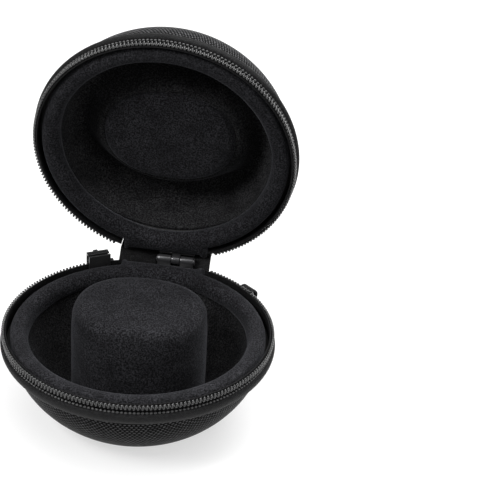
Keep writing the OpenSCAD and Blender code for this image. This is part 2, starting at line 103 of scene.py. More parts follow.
zipper = {
    "outR": reach("base_zip_coil"), "tapeR": 52.1 * mm, "tapeT": 0.5 * mm,
    "tapeDown": 0.1 * mm, "tapeShort": 0.4 * mm, "tapeRound": 0.2 * mm,
    "gap": 0.25 * mm, "tall": 2.3 * mm, "thick": 1.7 * mm, "pitch": 1.6 * mm,
    "wireR": 0.46 * mm, "groove": 0.42 * mm, "square": 0.6, "lean": 0.85, "perTurn": 16, "sides": 6,
    "spineAngle": 20.6, "endGap": 1.2,
    "stitch": (0.55, 0.66, 0.4), "stitchOut": 0.5 * mm, "stitchDrop": 1.45 * mm,
}


# a half is drawn with its rim at z = 0 and its depth upwards; the base is turned over: z' = baseH - z
def toBase(points):
    out = np.array(points, float)
    out[..., 2] = baseH - out[..., 2]
    return out


# the lid turns about the hinge: y' = yh + (y - yh) cos a + z sin a, z' = zh - (y - yh) sin a + z cos a
def toLid(points, angle=openAngle):
    out = np.array(points, float)
    y, z = out[..., 1] - hinge[1], out[..., 2].copy()
    out[..., 1] = hinge[1] + y * math.cos(angle) + z * math.sin(angle)
    out[..., 2] = baseH - y * math.sin(angle) + z * math.cos(angle)
    return out


places = {"base": toBase, "lid": toLid}


# x' = cx + u sin a - t cos a, y' = cy + u cos a + t sin a, for local (u out, t along, z)
def atAngle(local, degrees, centre=(0, 0, 0)):
    a = math.radians(degrees)
    u, t, z = local[..., 0], local[..., 1], local[..., 2]
    return np.stack([centre[0] + u * math.sin(a) - t * math.cos(a),
                     centre[1] + u * math.cos(a) + t * math.sin(a), centre[2] + z], -1)


# 3v^2 - 2v^3 between 0 and 1
def smoothStep(v):
    v = np.clip(v, 0, 1)
    return v * v * (3 - 2 * v)


# links a mesh into the scene, stands it in for its solids and rides it on its body
def finishMesh(name, mesh, body, material, nodes):
    piece = bpy.data.objects.new(name, mesh)
    bpy.context.scene.collection.objects.link(piece)
    piece.data.materials.append(material)
    if nodes:
        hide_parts(*nodes)
    if body:
        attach(piece, body)
    return piece


# doubles go before the faces are turned outwards
def fixNormals(mesh, merge=1e-7):
    work = bmesh.new()
    work.from_mesh(mesh)
    bmesh.ops.remove_doubles(work, verts=work.verts, dist=merge)
    bmesh.ops.recalc_face_normals(work, faces=work.faces)
    work.to_mesh(mesh)
    work.free()


# quads (i, j), (i, j + 1), (i + 1, j + 1), (i + 1, j); loop closes rows, columns; caps fill the ends
def quadsOf(rows, cols, loop=(False, False), caps=False):
    i = np.arange(rows if loop[0] else rows - 1)[:, None]
    j = np.arange(cols if loop[1] else cols - 1)[None, :]
    i2, j2 = (i + 1) % rows, (j + 1) % cols
    quads = np.stack([i * cols + j, i * cols + j2, i2 * cols + j2, i2 * cols + j], -1).reshape(-1, 4)
    faces = quads.tolist()
    if caps and loop[0] and not loop[1]:
        faces += [list(range(0, rows * cols, cols)), list(range(cols - 1, rows * cols, cols))[::-1]]
    elif caps:
        faces += [list(range(cols)), list(range((rows - 1) * cols, rows * cols))[::-1]]
    return faces


# (u, v, 0) at each point goes into the cloth attribute that the weaves read
def storeCloth(mesh, uv):
    flat = np.concatenate([uv, np.zeros(uv.shape[:-1] + (1,))], -1)
    mesh.attributes.new("cloth", "FLOAT_VECTOR", "POINT").data.foreach_set("vector", flat.reshape(-1))


# one smooth mesh over grid[i, j]
def gridMesh(name, grid, uv=None, loop=(False, False), caps=False):
    rows, cols = grid.shape[:2]
    mesh = bpy.data.meshes.new(name)
    mesh.from_pydata(grid.reshape(-1, 3).tolist(), [], quadsOf(rows, cols, loop, caps))
    if uv is not None:
        storeCloth(mesh, uv)
    fixNormals(mesh)
    mesh.polygons.foreach_set("use_smooth", [True] * len(mesh.polygons))
    mesh.update()
    return mesh


# grid[i, j] = (r_i sin a_j, r_i cos a_j, h_i), with a from the rear towards the right
def spin(profile, start=0.0, stop=360.0, count=256):
    closed = stop - start >= 359.999
    a = np.radians(np.linspace(start, stop, count, endpoint=not closed))
    r, h = profile[:, 0][:, None], profile[:, 1][:, None]
    return np.stack([r * np.sin(a), r * np.cos(a), h + 0 * a], -1)


# u = angle times the largest radius, v = length along the profile
def alongUv(grid):
    angle = np.unwrap(np.arctan2(grid[..., 0], grid[..., 1]), axis=1)
    step = np.linalg.norm(np.diff(grid, axis=0), axis=-1)
    v = np.concatenate([np.zeros((1, grid.shape[1])), np.cumsum(step, 0)], 0)
    return np.stack([angle * np.hypot(grid[..., 0], grid[..., 1]).max(), v], -1)


# each inner corner c becomes B(t) = (1 - t)^2 a + 2t(1 - t) c + t^2 b, with a and b on its two sides
def roundedPath(corners, radius, steps):
    corners = np.array(corners, float)
    before, after = corners[:-2] - corners[1:-1], corners[2:] - corners[1:-1]
    long1, long2 = np.linalg.norm(before, axis=1), np.linalg.norm(after, axis=1)
    cut = np.minimum(radius, 0.45 * np.minimum(long1, long2))
    c = corners[1:-1, None]
    a, b = c + (before * (cut / long1)[:, None])[:, None], c + (after * (cut / long2)[:, None])[:, None]
    t = np.linspace(0, 1, steps)[None, :, None]
    turns = (1 - t) ** 2 * a + 2 * t * (1 - t) * c + t ** 2 * b
    return np.concatenate([corners[:1], turns.reshape(-1, corners.shape[1]), corners[-1:]])


# tube: ring_i = path_i + r (cos s n_i + sin s b_i), with b = tangent x up and n = b x tangent
def sweep(path, radius, sides, up, closed=False):
    tangent = np.roll(path, -1, 0) - np.roll(path, 1, 0) if closed else np.gradient(path, axis=0)
    tangent /= np.linalg.norm(tangent, axis=1)[:, None]
    side = np.cross(tangent, up)
    side /= np.linalg.norm(side, axis=1)[:, None]
    normal = np.cross(side, tangent)
    s = np.linspace(0, 2 * math.pi, sides, endpoint=False)
    return path[:, None, :] + radius * (np.cos(s)[None, :, None] * normal[:, None, :]
                                        + np.sin(s)[None, :, None] * side[:, None, :])


# one shader node with its settings
def nodeOf(tree, kind, place=(0, 0), **values):
    item = tree.nodes.new(kind)
    item.location = place
    for key, value in values.items():
        setattr(item, key, value)
    return item


# a Math node: each operand is a number or a socket
def mathNode(tree, operation, a, b=None, c=None, clamp=False):
    item = nodeOf(tree, "ShaderNodeMath", operation=operation, use_clamp=clamp)
    for index, value in enumerate((a, b, c)):
        if value is None:
            continue
        if isinstance(value, (int, float)):
            item.inputs[index].default_value = value
        else:
            tree.links.new(value, item.inputs[index])
    return item.outputs[0]


# (1 - factor) a + factor b
def mixColour(tree, factor, a, b):
    item = nodeOf(tree, "ShaderNodeMix", data_type="RGBA")
    for socket, value in ((item.inputs[0], factor), (item.inputs[6], a), (item.inputs[7], b)):
        if isinstance(value, (int, float, tuple)):
            socket.default_value = value
        else:
            tree.links.new(value, socket)
    return item.outputs[2]


# an empty node group with its inputs and outputs named
def newGroup(name, inputs, outputs):
    tree = bpy.data.node_groups.new(name, "ShaderNodeTree")
    for label, kind, value in inputs:
        socket = tree.interface.new_socket(name=label, in_out="INPUT", socket_type=kind)
        if value is not None:
            socket.default_value = value
    for label, kind in outputs:
        tree.interface.new_socket(name=label, in_out="OUTPUT", socket_type=kind)
    return tree, tree.nodes.new("NodeGroupInput"), tree.nodes.new("NodeGroupOutput")


# floats laid like bricks: column = x / w + row / 2, row = y / h
# Float = (1 - |k fx|^2.6 - |k fy|^2.2)^0.7, so it falls to 0 in the gaps between the yarns
def makeWeaveGroup():
    tree, given, out = newGroup("floatWeave", [
        ("Place", "NodeSocketVector", None), ("Width", "NodeSocketFloat", 0.002),
        ("Height", "NodeSocketFloat", 0.0013), ("Wander", "NodeSocketFloat", 0.15),
        ("Gap", "NodeSocketFloat", 2.4)],
        [("Float", "NodeSocketFloat"), ("Yarn", "NodeSocketFloat"), ("Tone", "NodeSocketFloat")])
    link = tree.links.new
    wave = nodeOf(tree, "ShaderNodeTexNoise")
    wave.inputs["Scale"].default_value = 160
    wave.inputs["Detail"].default_value = 1
    link(given.outputs["Place"], wave.inputs["Vector"])
    split = nodeOf(tree, "ShaderNodeSeparateXYZ")
    link(given.outputs["Place"], split.inputs[0])
    shift = mathNode(tree, "MULTIPLY", mathNode(tree, "SUBTRACT", wave.outputs["Fac"], 0.5), given.outputs["Wander"])
    row = mathNode(tree, "ADD", mathNode(tree, "DIVIDE", split.outputs[1], given.outputs["Height"]), shift)
    line = mathNode(tree, "FLOOR", row)
    half = mathNode(tree, "MULTIPLY", mathNode(tree, "MODULO", mathNode(tree, "ADD", line, 1000), 2), 0.5)
    along = mathNode(tree, "ADD", mathNode(tree, "DIVIDE", split.outputs[0], given.outputs["Width"]), half)
    moved = mathNode(tree, "ADD", along, shift)
    fx = mathNode(tree, "SUBTRACT", mathNode(tree, "FRACT", moved), 0.5)
    fy = mathNode(tree, "SUBTRACT", mathNode(tree, "FRACT", row), 0.5)
    gap = given.outputs["Gap"]
    ex, ey = (mathNode(tree, "POWER", mathNode(tree, "ABSOLUTE", mathNode(tree, "MULTIPLY", f, gap)), power)
              for f, power in ((fx, 2.6), (fy, 2.2)))
    mound = mathNode(tree, "SUBTRACT", 1.0, mathNode(tree, "ADD", ex, ey), clamp=True)
    link(mathNode(tree, "POWER", mound, 0.7), out.inputs["Float"])
    strands = mathNode(tree, "SINE", mathNode(tree, "MULTIPLY", fy, 30))
    link(mathNode(tree, "MULTIPLY", mathNode(tree, "ADD", mathNode(tree, "MULTIPLY", strands, 0.5), 0.5), mound),
         out.inputs["Yarn"])
    cell = nodeOf(tree, "ShaderNodeCombineXYZ")
    link(mathNode(tree, "FLOOR", moved), cell.inputs[0])
    link(line, cell.inputs[1])
    white = nodeOf(tree, "ShaderNodeTexWhiteNoise", noise_dimensions="2D")
    link(cell.outputs[0], white.inputs["Vector"])
    link(white.outputs["Value"], out.inputs["Tone"])
    return tree


# Speckle = noise at fibre size stretched to 0..1, Strokes = slow noise where the pile leans
def makeNapGroup():
    tree, given, out = newGroup("brushedNap", [
        ("Place", "NodeSocketVector", None), ("Grain", "NodeSocketFloat", 1500.0),
        ("Cloud", "NodeSocketFloat", 90.0)],
        [("Speckle", "NodeSocketFloat"), ("Strokes", "NodeSocketFloat"), ("Height", "NodeSocketFloat")])
    link = tree.links.new
    fine = nodeOf(tree, "ShaderNodeTexNoise")
    fine.inputs["Detail"].default_value = 3
    fine.inputs["Roughness"].default_value = 0.65
    link(given.outputs["Place"], fine.inputs["Vector"])
    link(given.outputs["Grain"], fine.inputs["Scale"])
    slow = nodeOf(tree, "ShaderNodeTexNoise")
    slow.inputs["Detail"].default_value = 2
    link(given.outputs["Place"], slow.inputs["Vector"])
    link(given.outputs["Cloud"], slow.inputs["Scale"])
    spread = nodeOf(tree, "ShaderNodeMapRange")
    spread.inputs["From Min"].default_value = 0.42
    spread.inputs["From Max"].default_value = 0.66
    link(fine.outputs["Fac"], spread.inputs["Value"])
    link(spread.outputs["Result"], out.inputs["Speckle"])
    link(slow.outputs["Fac"], out.inputs["Strokes"])
    link(mathNode(tree, "ADD", fine.outputs["Fac"], mathNode(tree, "MULTIPLY", slow.outputs["Fac"], 0.4)),
         out.inputs["Height"])
    return tree


# edge output = pointiness from 0.52 to 0.62 times noise, lighter convex edges that are partly wear and partly
# painted highlight; Smudge = slow noise for handled gloss
def makeWearAndHighlightGroup():
    tree, given, out = newGroup("edgeWear", [
        ("Place", "NodeSocketVector", None), ("Amount", "NodeSocketFloat", 0.5)],
        [("Wear", "NodeSocketFloat"), ("Smudge", "NodeSocketFloat"), ("Grain", "NodeSocketFloat")])
    link = tree.links.new
    geometry = nodeOf(tree, "ShaderNodeNewGeometry")
    edge = nodeOf(tree, "ShaderNodeMapRange")
    edge.inputs["From Min"].default_value = 0.52
    edge.inputs["From Max"].default_value = 0.62
    link(geometry.outputs["Pointiness"], edge.inputs["Value"])
    grain = nodeOf(tree, "ShaderNodeTexNoise")
    grain.inputs["Scale"].default_value = 2600
    grain.inputs["Detail"].default_value = 3
    link(given.outputs["Place"], grain.inputs["Vector"])
    smudge = nodeOf(tree, "ShaderNodeTexNoise")
    smudge.inputs["Scale"].default_value = 220
    smudge.inputs["Detail"].default_value = 4
    link(given.outputs["Place"], smudge.inputs["Vector"])
    broken = mathNode(tree, "MULTIPLY", edge.outputs["Result"], grain.outputs["Fac"])
    link(mathNode(tree, "MULTIPLY", broken, given.outputs["Amount"]), out.inputs["Wear"])
    link(smudge.outputs["Fac"], out.inputs["Smudge"])
    link(grain.outputs["Fac"], out.inputs["Grain"])
    return tree


groups = {"weave": makeWeaveGroup(), "nap": makeNapGroup(), "wear": makeWearAndHighlightGroup()}


# a Principled material and the vector its pattern follows: the cloth attribute or the object's own place
def startMaterial(name, coords="Object"):
    material = bpy.data.materials.new(name)
    material.use_nodes = True
    tree = material.node_tree
    shader = tree.nodes["Principled BSDF"]
    if coords == "cloth":
        place = nodeOf(tree, "ShaderNodeAttribute", (-1200, 0), attribute_name="cloth").outputs["Vector"]
    else:
        place = nodeOf(tree, "ShaderNodeTexCoord", (-1200, 0)).outputs["Object"]
    return material, tree, shader, place


# a shared group placed in a material with its own values
def useGroup(tree, key, place, **values):
    item = nodeOf(tree, "ShaderNodeGroup", (-900, 0), node_tree=groups[key])
    tree.links.new(place, item.inputs["Place"])
    for label, value in values.items():
        item.inputs[label].default_value = value
    return item.outputs


# normal tilted by the slope of height times distance
def addBump(tree, shader, height, distance, strength=1.0):
    bump = nodeOf(tree, "ShaderNodeBump", (-300, -300))
    bump.inputs["Distance"].default_value = distance
    bump.inputs["Strength"].default_value = strength
    tree.links.new(height, bump.inputs["Height"])
    tree.links.new(bump.outputs["Normal"], shader.inputs["Normal"])


# dark is painted shade in the gaps between the yarns, light a painted highlight on the float tops
ballistic = {"width": 2.1 * mm, "height": 1.35 * mm, "gap": 2.75, "dark": (0.0008, 0.0008, 0.0009, 1),
             "light": (0.19, 0.19, 0.196, 1), "relief": 0.5 * mm, "rough": 0.4, "specular": 0.015,
             "wander": 0.16, "toneSpread": 0.55, "strands": 0.18}


# colour = dark to light by Float times the float's own tone: painted shade in the gaps and a painted highlight on
# each float's top, in place of the lamps' glints
def makeBallistic():
    material, tree, shader, place = startMaterial("ballisticNylon", "cloth")
    weave = useGroup(tree, "weave", place, Width=ballistic["width"], Height=ballistic["height"],
                     Wander=ballistic["wander"], Gap=ballistic["gap"])
    tone = mathNode(tree, "MULTIPLY_ADD", weave["Tone"], ballistic["toneSpread"], ballistic["toneSpread"])
    amount = mathNode(tree, "MULTIPLY", weave["Float"], tone, clamp=True)
    tree.links.new(mixColour(tree, amount, ballistic["dark"], ballistic["light"]), shader.inputs["Base Color"])
    shader.inputs["Roughness"].default_value = ballistic["rough"]
    shader.inputs["Specular IOR Level"].default_value = ballistic["specular"]
    height = mathNode(tree, "ADD", weave["Float"], mathNode(tree, "MULTIPLY", weave["Yarn"], ballistic["strands"]))
    addBump(tree, shader, height, ballistic["relief"])
    return material


# dark is painted shade between the yarns, light a painted highlight on the float tops
fineCloth = {"width": 0.7 * mm, "height": 0.45 * mm, "dark": (0.002, 0.002, 0.0022, 1),
             "light": (0.03, 0.03, 0.031, 1), "relief": 0.12 * mm, "rough": 0.55, "specular": 0.12,
             "wander": 0.3, "gap": 2.2}


# the same floats, small and close: colour = dark to light by Float times its tone, painted shade between the yarns
# and a painted highlight on the float tops
def makeFineCloth(name="fineNylon", values=fineCloth):
    material, tree, shader, place = startMaterial(name, "cloth")
    weave = useGroup(tree, "weave", place, Width=values["width"], Height=values["height"],
                     Wander=values["wander"], Gap=values["gap"])
    amount = mathNode(tree, "MULTIPLY", weave["Float"], mathNode(tree, "MULTIPLY_ADD", weave["Tone"], 0.8, 0.3))
    tree.links.new(mixColour(tree, amount, values["dark"], values["light"]), shader.inputs["Base Color"])
    shader.inputs["Roughness"].default_value = values["rough"]
    shader.inputs["Specular IOR Level"].default_value = values["specular"]
    addBump(tree, shader, weave["Float"], values["relief"])
    return material


velourTone = {"dark": (0.005, 0.005, 0.0055, 1), "light": (0.06, 0.06, 0.067, 1), "sheen": 0.1,
              "rough": 0.95, "specular": 0.05, "grain": 1700.0, "cloud": 110.0, "relief": 0.22 * mm}


# colour = dark to light by Speckle times Strokes, with a faint sheen
def makeVelour(name="velour", values=velourTone):
    material, tree, shader, place = startMaterial(name)
    nap = useGroup(tree, "nap", place, Grain=values["grain"], Cloud=values["cloud"])
    amount = mathNode(tree, "MULTIPLY", nap["Speckle"],
                      mathNode(tree, "MULTIPLY_ADD", nap["Strokes"], 0.9, 0.1), clamp=True)
    tree.links.new(mixColour(tree, amount, values["dark"], values["light"]), shader.inputs["Base Color"])
    shader.inputs["Roughness"].default_value = values["rough"]
    shader.inputs["Specular IOR Level"].default_value = values["specular"]
    shader.inputs["Sheen Weight"].default_value = values["sheen"]
    shader.inputs["Sheen Roughness"].default_value = 0.4
    shader.inputs["Sheen Tint"].default_value = (0.75, 0.77, 0.85, 1)
    addBump(tree, shader, nap["Height"], values["relief"], 0.8)
    return material


# plain finish: colour from dark to light at convex edges, partly wear and partly painted highlight, roughness moved
# by smudges
def makeGloss(name, dark, light, rough, relief=0.01 * mm, wear=0.5, metal=0.0, coat=0.0):
    material, tree, shader, place = startMaterial(name)
    marks = useGroup(tree, "wear", place, Amount=wear)
    tree.links.new(mixColour(tree, marks["Wear"], dark, light), shader.inputs["Base Color"])
    tree.links.new(mathNode(tree, "MULTIPLY_ADD", marks["Smudge"], 0.2, rough - 0.1), shader.inputs["Roughness"])
    shader.inputs["Metallic"].default_value = metal
    shader.inputs["Coat Weight"].default_value = coat
    addBump(tree, shader, marks["Grain"], relief, 0.5)
    return material


black = (0.006, 0.006, 0.0065, 1)
materials = {
    "woven": makeBallistic(),
    "fine": makeFineCloth(),
    "webbing": makeFineCloth("webbingWeave", dict(fineCloth, width=1.3 * mm, height=0.7 * mm, relief=0.16 * mm)),
    "tape": makeFineCloth("zipTape", dict(fineCloth, light=(0.02, 0.02, 0.021, 1))),
    "velour": makeVelour(),
    "liningVelour": makeVelour("liningVelour", dict(velourTone, light=(0.062, 0.062, 0.064, 1), sheen=0.05)),
    "foam": makeGloss("closedFoam", (0.01, 0.01, 0.01, 1), (0.02, 0.02, 0.02, 1), 0.85, 0.05 * mm, 0.2),
    # the coil's lighter edges paint highlights on the bends of its turns, on top of wear
    "coil": makeGloss("coilNylon", (0.006, 0.006, 0.0065, 1), (0.07, 0.07, 0.07, 1), 0.2, 0.01 * mm, 0.5, coat=0.5),
    "stitch": makeGloss("stitchThread", (0.03, 0.03, 0.031, 1), (0.2, 0.2, 0.2, 1), 0.3, 0.01 * mm, 0.5),
    "hinge": makeGloss("hingeBlack", (0.06, 0.06, 0.064, 1), (0.3, 0.3, 0.3, 1), 0.3, 0.006 * mm, 0.5, 0.6, 0.2),
    "slider": makeGloss("sliderNickel", (0.03, 0.03, 0.032, 1), (0.2, 0.2, 0.2, 1), 0.3, 0.006 * mm, 0.6, 0.7, 0.2),
    "rubber": makeGloss("pullRubber", (0.012, 0.012, 0.0125, 1), (0.03, 0.03, 0.03, 1), 0.55, 0.03 * mm, 0.3),
    "clip": makeGloss("clipEnamel", black, (0.1, 0.1, 0.1, 1), 0.2, 0.004 * mm, 0.4, 0.3, 0.6),
    "steel": makeGloss("springSteel", (0.2, 0.2, 0.21, 1), (0.5, 0.5, 0.5, 1), 0.35, 0.005 * mm, 0.5, 1.0),
}
print("materials made")


puff = {"scale": 20.0, "voxel": 1.1 * mm, "pressure": 4.0, "frames": 20, "most": 0.45 * mm}


# grid' = grid + cap(cloth(s remesh) - s remesh) / s, each point taking the move of the remeshed point nearest it
def puffUp(grid, loop, caps, held):
    s = puff["scale"]
    rows, cols = grid.shape[:2]
    mesh = bpy.data.meshes.new("puffing")
    mesh.from_pydata((grid * s).reshape(-1, 3).tolist(), [], quadsOf(rows, cols, loop, caps))
    fixNormals(mesh, 1e-5)
    temp = bpy.data.objects.new("puffing", mesh)
    bpy.context.scene.collection.objects.link(temp)
    remesh = temp.modifiers.new("remesh", "REMESH")
    remesh.mode = "VOXEL"
    remesh.voxel_size = puff["voxel"] * s
    graph = bpy.context.evaluated_depsgraph_get()
    temp.data = bpy.data.meshes.new_from_object(temp.evaluated_get(graph))
    temp.modifiers.clear()
    before = np.zeros(len(temp.data.vertices) * 3)
    temp.data.vertices.foreach_get("co", before)
    before = before.reshape(-1, 3)
    group = temp.vertex_groups.new(name="held")
    group.add(np.nonzero(held(before / s))[0].tolist(), 1.0, "REPLACE")
    cloth = temp.modifiers.new("cloth", "CLOTH")
    cloth.settings.use_pressure = True
    cloth.settings.uniform_pressure_force = puff["pressure"]
    cloth.settings.effector_weights.gravity = 0
    cloth.settings.vertex_group_mass = "held"
    cloth.settings.quality = 4
    cloth.collision_settings.use_collision = False
    cloth.point_cache.frame_start, cloth.point_cache.frame_end = 1, puff["frames"]
    for step in range(1, puff["frames"] + 1):
        bpy.context.scene.frame_set(step)
    graph = bpy.context.evaluated_depsgraph_get()
    swollen = temp.evaluated_get(graph).to_mesh()
    after = np.zeros(len(swollen.vertices) * 3)
    swollen.vertices.foreach_get("co", after)
    move = (after.reshape(-1, 3) - before) / s
    temp.evaluated_get(graph).to_mesh_clear()
    bpy.context.scene.frame_set(1)
    bpy.data.objects.remove(temp)
    size = np.linalg.norm(move, axis=1)[:, None]
    move *= np.minimum(1.0, puff["most"] / np.maximum(size, 1e-9))
    points, seeds = grid.reshape(-1, 3), before / s
    near = np.concatenate([
        np.argmin((seeds ** 2).sum(1)[None] - 2 * part @ seeds.T, axis=1)
        for part in np.array_split(points, max(1, len(points) // 500))])
    field = move[near].reshape(grid.shape)
    for axis in (0, 1, 0, 1):  # a light blur along rows and columns
        if loop[axis]:
            field = (np.roll(field, 1, axis) + 2 * field + np.roll(field, -1, axis)) / 4
        else:
            edge = [(1, 1) if k == axis else (0, 0) for k in range(3)]
            wide = np.pad(field, edge, mode="edge")
            low, high = (wide[:-2], wide[2:]) if axis == 0 else (wide[:, :-2], wide[:, 2:])
            field = (low + 2 * field + high) / 4
    return grid + field


# r = (R - inset) cos(t)^(2/n), h = (c - inset) sin(t)^(2/n), from depth hStart to hEnd
def domeProfile(depth, power, inset, hStart, hEnd, count=72):
    c = depth - inset
    t0, t1 = (math.asin(min(1.0, (h / c) ** (power / 2))) for h in (hStart, hEnd))
    t = np.linspace(t0, t1, count)
    return np.stack([(shell["domeR"] - inset) * np.cos(t) ** (2 / power), c * np.sin(t) ** (2 / power)], -1)


# dome side, a rounded foot edge B(t) and the flat foot, ending on the axis
def baseSkin(inset, hStart, edge):
    floor = baseH - inset
    side = domeProfile(shell["baseDepth"], shell["basePower"], inset, hStart, floor - edge)
    footR = domeProfile(shell["baseDepth"], shell["basePower"], inset, hStart, floor)[-1, 0]
    t = np.linspace(0, 1, 8)[1:, None]
    a, c, b = side[-1], np.array([footR, floor]), np.array([footR - edge * 1.6, floor])
    turn = (1 - t) ** 2 * a + 2 * t * (1 - t) * c + t ** 2 * b
    flat = np.stack([np.linspace(b[0], 0.0, 26)[1:], np.full(25, floor)], -1)
    return np.concatenate([side, turn, flat])


# cloth moulded over a dome: (x, y) / r times the length along the skin from the pole
def fanUv(grid, turn=0.0):
    step = np.linalg.norm(np.diff(grid, axis=0), axis=-1)
    s = np.concatenate([np.cumsum(step[::-1], 0)[::-1], np.zeros((1, grid.shape[1]))], 0)
    angle = np.arctan2(grid[..., 0], grid[..., 1])
    angle[-1] = angle[-2]
    return np.stack([s * np.sin(angle + turn), s * np.cos(angle + turn)], -1)


# one closed wall: the outer skin from rim to pole and the inner skin from pole to rim, joined at the rim
def shellOfTwo(name, outer, inner, place, material, nodes, uvTurn=0.0):
    grid = np.concatenate([outer, inner[::-1]])
    uv = np.concatenate([fanUv(outer, uvTurn), fanUv(inner, uvTurn)[::-1]])
    mesh = gridMesh(name, places[place](grid), uv, (True, True))
    return finishMesh(name, mesh, place, material, nodes)


# height over p of the superellipse dome, drawn to a flat floor by share = 1 - smooth(e)
def lidSkin(inset, hStart, rows=110, cols=256):
    n, depth, radius = shell["lidPower"], shell["lidDepth"] - inset, shell["domeR"] - inset
    t0 = math.asin((hStart / depth) ** (n / 2))
    t = np.linspace(t0, math.pi / 2, rows)
    r = radius * np.cos(t) ** (2 / n)
    r[-1] = 0
    near = 1 - smoothStep((r - shell["dimpleL"] / 2) / (shell["domeR"] - shell["dimpleL"] / 2))
    ratio = 1 - (1 - shell["dimpleW"] / shell["dimpleL"]) * near
    a = np.linspace(0, 2 * math.pi, cols, endpoint=False)
    x, y = r[:, None] * np.sin(a), (r * ratio)[:, None] * np.cos(a)
    dome = depth * (1 - np.clip(np.hypot(x, y) / radius, 0, 1) ** n) ** (1 / n)
    grow = inset * shell["dimpleGrow"]
    e = np.hypot(x / (shell["dimpleL"] / 2 + grow), y / (shell["dimpleW"] / 2 + grow))
    share = 1 - smoothStep((e - shell["dimpleFlat"]) / (shell["dimpleEdge"] - shell["dimpleFlat"]))
    h = dome + (shell["dimpleFloor"] - inset - dome) * share
    h[0] = hStart
    return np.stack([x, y, h], -1)


inset1, inset2 = shell["coverT"], shell["coverT"] + shell["foamT"]
collar = np.array([[shell["collarR"], shell["rimEnd"]], [shell["collarR"], shell["seamH"]]])
coverStart = shell["seamH"] - shell["coverLap"]
shellOfTwo("base_woven_cover", spin(baseSkin(0, coverStart, shell["coverEdge"])),
           spin(baseSkin(inset1, coverStart, shell["wallEdge"])),
           "base", materials["woven"], ["base_cover"], shell["baseTurn"])
shellOfTwo("base_foam_wall", spin(np.concatenate([collar, baseSkin(inset1, shell["seamH"], shell["wallEdge"])])),
           spin(baseSkin(inset2, shell["rimEnd"], shell["liningEdge"])),
           "base", materials["foam"], ["base_shell"])
shellOfTwo("base_velour_lining", spin(baseSkin(inset2, shell["rimEnd"], shell["liningEdge"])),
           spin(baseSkin(shell["wallT"], shell["rimEnd"], shell["liningEdge"])),
           "base", materials["liningVelour"], ["base_lining"])
shellOfTwo("lid_woven_cover", lidSkin(0, coverStart), lidSkin(inset1, coverStart),
           "lid", materials["woven"], ["lid_cover"], shell["lidTurn"])
shellOfTwo("lid_foam_wall", np.concatenate([spin(collar), lidSkin(inset1, shell["seamH"])]),
           lidSkin(inset2, shell["rimEnd"]), "lid", materials["foam"], ["lid_shell"])
shellOfTwo("lid_velour_lining", lidSkin(inset2, shell["rimEnd"]), lidSkin(shell["wallT"], shell["rimEnd"]),
           "lid", materials["liningVelour"], ["lid_lining"])
print("shells made")


rim = {"inR": 43.0 * mm, "outR": 50.1 * mm, "crownR": 47.3 * mm, "top": 0.3 * mm, "end": 6.2 * mm,
       "outDrop": 2.4 * mm, "full": 0.72, "velour": 0.8 * mm, "pucker": 0.14 * mm, "slack": 0.35 * mm,
       "flatY": 51.25 * mm, "lobeY": 53.1 * mm, "lobeLeft": -14.3 * mm, "lobeRight": 13.7 * mm,
       "lobeEdge": 1.1 * mm, "most": 55.0 * mm, "lobeEnd": 18.4, "lobeFade": 1.8,
       "under": 0.6 * mm, "held": 1.5 * mm, "waves": (7, 17), "waveOut": 0.6, "waveUp": 0.4}


# D section: crown at crownR, r = rc + w cos(q)^k and h = low - rise sin(q)^k on each side, closed underneath
def rimSection(inset):
    r0, r1, rc = rim["inR"] + inset, rim["outR"] - inset, rim["crownR"]
    top, end, k = rim["top"] + rim["slack"] + inset, rim["end"] - inset, rim["full"]
    q = np.radians(np.linspace(0, 90, 12))
    c, s = np.cos(q) ** k, np.sin(q) ** k
    outer = np.stack([rc + (r1 - rc) * c, top + rim["outDrop"] * (1 - s)], -1)
    inner = np.stack([rc - (rc - r0) * c, end - (end - top) * s], -1)[::-1]
    under = np.stack([np.linspace(r0 + rim["under"], r1, 6), np.full(6, end)], -1)
    side = np.array([[r1, h] for h in np.linspace(end, top + rim["outDrop"], 5)[1:-1]])
    return np.concatenate([outer, inner[1:], under, side])


# outer radius round the rear: y = flatY along the hinge and lobeY beside it, R = y / cos a, back to outR
# by 20 degrees
def rimReach(a):
    x = rim["outR"] * np.sin(a)
    lobe = smoothStep((x - rim["lobeRight"]) / rim["lobeEdge"]) + smoothStep((rim["lobeLeft"] - x) / rim["lobeEdge"])
    y = rim["flatY"] + (rim["lobeY"] - rim["flatY"]) * lobe
    turn = np.degrees(np.abs(a))
    wide = np.minimum(y / np.maximum(np.cos(a), 0.5), rim["most"])
    return rim["outR"] + (wide - rim["outR"]) * (1 - smoothStep((turn - rim["lobeEnd"]) / rim["lobeFade"]))


